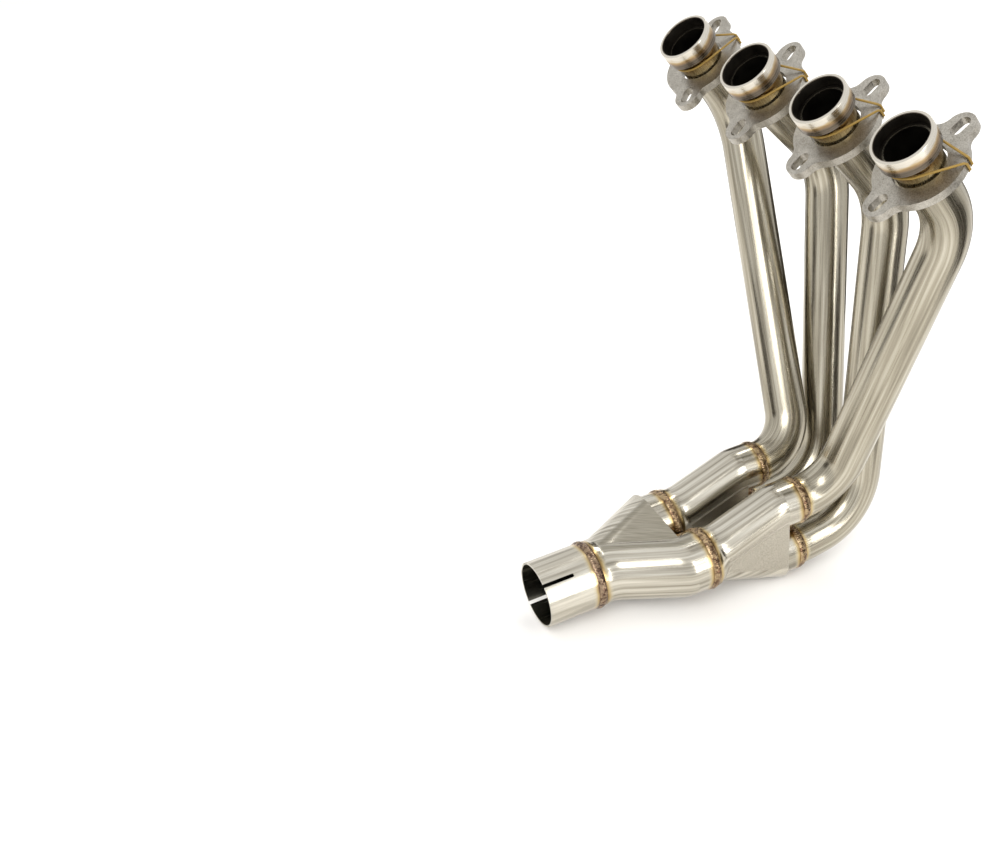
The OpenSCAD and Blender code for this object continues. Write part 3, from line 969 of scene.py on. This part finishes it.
def white_floor(at_z):
    """Matt white paper, lifted a little where it is seen, so all but the shadow is white."""
    bpy.ops.mesh.primitive_plane_add(size=12, location=(0, 0, at_z - 0.0001))
    floor = bpy.context.active_object
    floor.name = "floor"
    material, tree = new_material("white_paper")
    lift = maths(tree, "MULTIPLY", seen_rays(tree), 0.04)
    paper = add_node(tree, "ShaderNodeBsdfDiffuse", Color=hex_colour("#F6F4F1"))
    glow = add_node(tree, "ShaderNodeEmission", Color=(1, 1, 1, 1), Strength=lift)
    both = add_node(tree, "ShaderNodeAddShader", i0=paper.outputs[0], i1=glow.outputs[0])
    add_node(tree, "ShaderNodeOutputMaterial", Surface=both.outputs[0])
    floor.data.materials.append(material)
    floor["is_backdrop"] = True


def white_world():
    """White all round; it lights at nearly the level at which it is seen."""
    world = bpy.data.worlds.new("studio")
    bpy.context.scene.world = world
    world.use_nodes = True
    tree = world.node_tree
    tree.nodes.clear()
    strength = between(tree, seen_rays(tree), 0.0, 1.0, 0.98, 1.0)
    sky = add_node(tree, "ShaderNodeBackground", Color=(1, 1, 1, 1), Strength=strength)
    add_node(tree, "ShaderNodeOutputWorld", Surface=sky.outputs[0])


def black_flags(floor_z):
    """Felt flags round the tubes, unseen, that only darken what the metal reflects."""
    material, tree = new_material("black_felt")
    felt = add_node(tree, "ShaderNodeBsdfDiffuse", Color=hex_colour("#3A352D"))
    add_node(tree, "ShaderNodeOutputMaterial", Surface=felt.outputs[0])
    for name, (way, distance, wide, high) in FLAGS.items():
        a = math.radians(way)
        bpy.ops.mesh.primitive_plane_add(size=1)
        flag = bpy.context.active_object
        flag.name = name
        flag.scale = (wide, high, 1)
        flag.rotation_euler = (math.radians(90), 0, a + math.radians(90))
        flag.location = (FLAGS_ROUND[0] + distance * math.cos(a),
                         FLAGS_ROUND[1] + distance * math.sin(a), floor_z + high / 2)
        flag.visible_camera = flag.visible_diffuse = False
        flag.visible_shadow = flag.visible_transmission = False
        flag.data.materials.append(material)
        flag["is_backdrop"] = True


def softboxes(middle):
    """Soft lamps for the highlights; most of the light on matt surfaces comes from the world."""
    for name, (at, size, power) in SOFTBOXES.items():
        lamp = bpy.data.lights.new(name, "AREA")
        lamp.shape, lamp.size, lamp.size_y, lamp.energy = "RECTANGLE", size[0], size[1], power
        lamp.diffuse_factor = 0.35
        holder = bpy.data.objects.new(name, lamp)
        holder.location = at
        holder.rotation_euler = (middle - Vector(at)).to_track_quat("-Z", "Y").to_euler()
        bpy.context.scene.collection.objects.link(holder)


def photo_camera():
    """The camera that saw the photograph."""
    camera = bpy.data.cameras.new("camera")
    camera.lens, camera.sensor_width, camera.sensor_fit = 43.92, 36.0, "HORIZONTAL"
    holder = bpy.data.objects.new("camera", camera)
    look, right = Vector(CAMERA_LOOK).normalized(), Vector(CAMERA_RIGHT)
    right = (right - look * right.dot(look)).normalized()
    turn = Matrix((right, right.cross(look), -look)).transposed().to_4x4()
    holder.matrix_world = Matrix.Translation(CAMERA_AT) @ turn
    bpy.context.scene.collection.objects.link(holder)
    bpy.context.scene.camera = holder


class HEADER_OT_stage(bpy.types.Operator):
    """Sets a pale floor, soft studio lamps and the camera"""

    bl_idname = "header.stage"
    bl_label = "Stage"

    def execute(self, context):
        low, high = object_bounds()
        white_floor(low[2])
        white_world()
        black_flags(low[2])
        softboxes((low + high) / 2)
        photo_camera()
        context.scene.view_settings.view_transform = "Standard"
        return {"FINISHED"}


class HEADER_PT_panel(bpy.types.Panel):
    """Lists the steps that dress the header"""

    bl_idname = "HEADER_PT_panel"
    bl_label = "Exhaust header"
    bl_space_type = "VIEW_3D"
    bl_region_type = "UI"
    bl_category = "Header"

    def draw(self, context):
        for group in (context.scene.header_sizes, context.scene.header_colours):
            for key in group.__annotations__:
                self.layout.prop(group, key)
        for step in STEPS:
            self.layout.operator(step.bl_idname)


STEPS = (HEADER_OT_tubes, HEADER_OT_collars, HEADER_OT_flanges, HEADER_OT_bands, HEADER_OT_welds,
         HEADER_OT_collectors, HEADER_OT_sleeve, HEADER_OT_stage)
CLASSES = (HeaderSizes, HeaderColours) + STEPS + (HEADER_PT_panel,)


def register():
    for cls in CLASSES:
        bpy.utils.register_class(cls)
    bpy.types.Scene.header_sizes = PointerProperty(type=HeaderSizes)
    bpy.types.Scene.header_colours = PointerProperty(type=HeaderColours)


def unregister():
    del bpy.types.Scene.header_colours
    del bpy.types.Scene.header_sizes
    for cls in reversed(CLASSES):
        bpy.utils.unregister_class(cls)


def main():
    register()
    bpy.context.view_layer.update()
    for step in STEPS:
        group, name = step.bl_idname.split(".")
        getattr(getattr(bpy.ops, group), name)()


if __name__ == "__main__":
    main()
